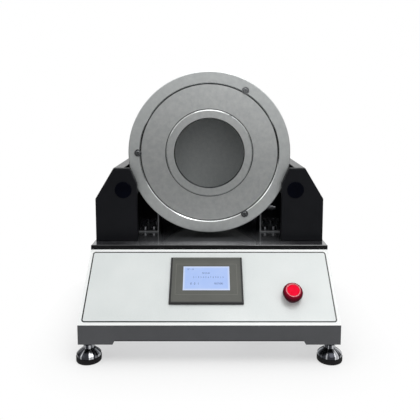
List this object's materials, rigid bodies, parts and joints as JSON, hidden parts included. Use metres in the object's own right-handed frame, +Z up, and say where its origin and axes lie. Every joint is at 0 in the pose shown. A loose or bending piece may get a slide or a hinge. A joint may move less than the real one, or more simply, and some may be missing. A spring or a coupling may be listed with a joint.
{
  "type": "carpet tumble drum tester",
  "caption": "Bench carpet wear tester: a closed metal drum turned by rubber rollers in two black towers, over a sloping control panel on levelling feet.",
  "frame": {"origin": "on the bench, under the middle of the base", "axes": "+X to the viewer's right, -Y to the front with the panel, +Z up"},
  "size_m": [0.53, 0.486, 0.58],
  "materials": {
    "light_paint": "powder coat, fine texture",
    "dark_paint": "dark grey powder coat",
    "black_paint": "black powder coat",
    "black_gloss": "glossy black stove enamel",
    "drum_metal": "turned and fine blasted",
    "lid_metal": "turned, satin",
    "steel": "ground",
    "zinc": "zinc plated",
    "chrome": "chromed",
    "rubber": "matt",
    "clear": "clear acrylic",
    "foil": "fine grained foil",
    "bezel": "fine grained",
    "screen": "lit screen behind glass",
    "black_plastic": "moulded",
    "red_plastic": "glossy",
    "cast": "cast and painted"
  },
  "bodies": {
    "base": {"skirt_frame": "dark_paint", "bottom_cover": "zinc", "housing_shell": "light_paint", "rear_cover": "light_paint", "deck_plate": "black_gloss", "deck_bolts": "zinc", "cover_screws": "zinc", "tower_plate_left": "black_paint", "tower_plate_right": "black_paint", "rear_bearing_plate": "black_paint", "tower_cover_left": "black_paint", "tower_cover_right": "black_paint", "bearings": "steel", "bearing_caps": "black_plastic", "angle_bracket_left": "zinc", "angle_bracket_right": "zinc", "speed_sensor": "steel", "drive_belt": "rubber", "gear_motor": "cast", "motor_bracket": "zinc", "belt_guard": "black_paint", "panel_overlay": "foil", "hmi_bezel": "bezel", "hmi_screen": "screen", "hmi_body": "black_plastic", "estop_collar": "black_plastic", "estop_block": "black_plastic", "foot_lock_nuts": "zinc", "power_inlet": "black_plastic", "power_supply": "steel", "motor_drive": "cast"},
    "drum": {"drum_shell": "drum_metal", "front_flange": "drum_metal", "rear_flange": "drum_metal"},
    "lid": {"lid_plate": "lid_metal", "lid_ring": "lid_metal", "lid_window": "clear", "lid_seal": "rubber"},
    "lid_screw_one": {"lid_screw_1": "steel"},
    "lid_screw_two": {"lid_screw_2": "steel"},
    "lid_screw_three": {"lid_screw_3": "steel"},
    "roller_left": {"roller_shaft_left": "steel", "roller_hubs_left": "drum_metal", "roller_tyres_left": "rubber"},
    "roller_right": {"roller_shaft_right": "steel", "roller_hubs_right": "drum_metal", "roller_tyres_right": "rubber", "roller_pulley": "cast"},
    "motor_output": {"motor_pulley": "cast"},
    "stop_stem": {"estop_stem": "steel"},
    "stop_head": {"estop_head": "red_plastic"},
    "rocker": {"power_rocker": "black_plastic"},
    "foot_front_left": {"foot_front_left_bell": "chrome", "foot_front_left_sole": "rubber"},
    "foot_front_right": {"foot_front_right_bell": "chrome", "foot_front_right_sole": "rubber"},
    "foot_back_left": {"foot_back_left_bell": "chrome", "foot_back_left_sole": "rubber"},
    "foot_back_right": {"foot_back_right_bell": "chrome", "foot_back_right_sole": "rubber"}
  },
  "joints": [
    {"name": "drum_spin", "type": "hinge", "parent": "base", "child": "drum", "pos_m": [0, 0.05, 0.4], "axis": [0, 1, 0], "continuous": true},
    {"name": "roller_left_spin", "type": "hinge", "parent": "base", "child": "roller_left", "pos_m": [-0.19, 0.05, 0.32], "axis": [0, 1, 0], "continuous": true},
    {"name": "roller_right_spin", "type": "hinge", "parent": "base", "child": "roller_right", "pos_m": [0.19, 0.05, 0.32], "axis": [0, 1, 0], "continuous": true},
    {"name": "motor_spin", "type": "hinge", "parent": "base", "child": "motor_output", "pos_m": [0.19, 0.19, 0.124], "axis": [0, 1, 0], "continuous": true},
    {"name": "lid_off", "type": "slide", "parent": "drum", "child": "lid", "axis": [0, -1, 0], "range_m": [0, 0.12]},
    {"name": "lid_screw_one_out", "type": "slide", "parent": "drum", "child": "lid_screw_one", "axis": [0, -1, 0], "range_m": [0, 0.144]},
    {"name": "lid_screw_two_out", "type": "slide", "parent": "drum", "child": "lid_screw_two", "axis": [0, -1, 0], "range_m": [0, 0.144]},
    {"name": "lid_screw_three_out", "type": "slide", "parent": "drum", "child": "lid_screw_three", "axis": [0, -1, 0], "range_m": [0, 0.144]},
    {"name": "stop_press", "type": "slide", "parent": "base", "child": "stop_stem", "axis": [0, 0.6651, -0.7468], "range_m": [0, 0.004]},
    {"name": "stop_turn", "type": "hinge", "parent": "stop_stem", "child": "stop_head", "pos_m": [0.167, -0.19392, 0.12204], "axis": [0, -0.6651, 0.7468], "range_deg": [-45, 0], "stiffness_Nm_per_rad": 0.05},
    {"name": "power_rock", "type": "hinge", "parent": "base", "child": "rocker", "pos_m": [-0.16, 0.237, 0.153], "axis": [1, 0, 0], "range_deg": [0, 14]},
    {"name": "foot_front_left_height", "type": "slide", "parent": "base", "child": "foot_front_left", "axis": [0, 0, -1], "range_m": [-0.006, 0.01]},
    {"name": "foot_front_right_height", "type": "slide", "parent": "base", "child": "foot_front_right", "axis": [0, 0, -1], "range_m": [-0.006, 0.01]},
    {"name": "foot_back_left_height", "type": "slide", "parent": "base", "child": "foot_back_left", "axis": [0, 0, -1], "range_m": [-0.006, 0.01]},
    {"name": "foot_back_right_height", "type": "slide", "parent": "base", "child": "foot_back_right", "axis": [0, 0, -1], "range_m": [-0.006, 0.01]}
  ],
  "couplings": [
    {"joint": "roller_left_spin", "follows": "drum_spin", "ratio": -6.9618},
    {"joint": "roller_right_spin", "follows": "drum_spin", "ratio": -6.9618},
    {"joint": "motor_spin", "follows": "drum_spin", "ratio": -6.9618},
    {"joint": "lid_screw_one_out", "follows": "lid_off", "ratio": 1.2},
    {"joint": "lid_screw_two_out", "follows": "lid_off", "ratio": 1.2},
    {"joint": "lid_screw_three_out", "follows": "lid_off", "ratio": 1.2}
  ]
}
